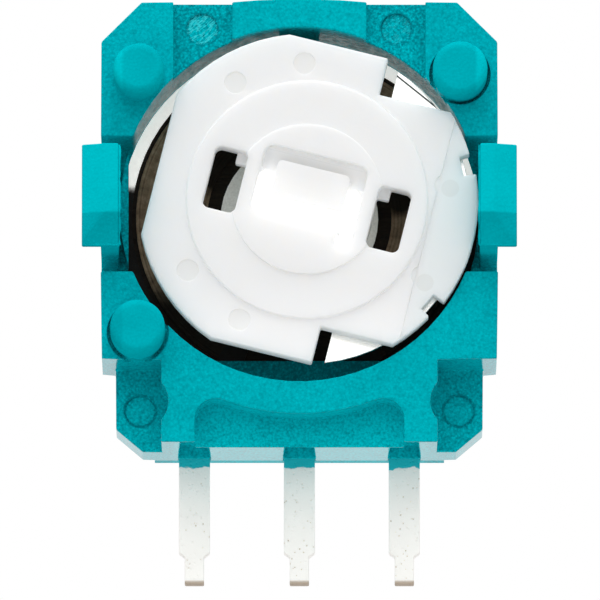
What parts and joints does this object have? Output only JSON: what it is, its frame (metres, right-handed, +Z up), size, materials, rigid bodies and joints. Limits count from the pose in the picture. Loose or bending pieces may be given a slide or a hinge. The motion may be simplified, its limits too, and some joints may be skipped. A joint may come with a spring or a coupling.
{
  "type": "joystick potentiometer",
  "caption": "Side potentiometer of a thumb joystick: teal moulded housing on flat pins, with a white rotor, its wiper and a printed resistor board in an open bore.",
  "frame": {"origin": "middle of the pin row, where the three pins leave the foot of the housing", "axes": "+Z up from the pins to the top of the housing, +X to the right seen from the rotor side, +Y to the rear; the rotor side faces -Y"},
  "size_m": [0.0104, 0.0044, 0.0137],
  "materials": {
    "housing_plastic": "teal moulded polyester with a fine spark-eroded texture",
    "laminate": "brown phenolic paper laminate",
    "carbon_print": "screen-printed carbon resistor ink",
    "silver_print": "screen-printed silver ink",
    "tinned_pin": "flat brass strip with a matte tin plating",
    "rotor_plastic": "natural white acetal, satin",
    "wiper_metal": "bright nickel-silver spring sheet"
  },
  "bodies": {
    "housing": {"housing": "housing_plastic", "resistor_board": "laminate", "carbon_track": "carbon_print", "collector_ring": "silver_print", "end_lead_left": "silver_print", "end_lead_right": "silver_print", "terminal_left": "tinned_pin", "terminal_centre": "tinned_pin", "terminal_right": "tinned_pin"},
    "rotor": {"rotor": "rotor_plastic", "wiper": "wiper_metal"}
  },
  "joints": [
    {"name": "rotor_turn", "type": "hinge", "parent": "housing", "child": "rotor", "pos_m": [0.00018, -0.0026, 0.00579], "axis": [0, -1, 0], "range_deg": [-16, 44]}
  ]
}
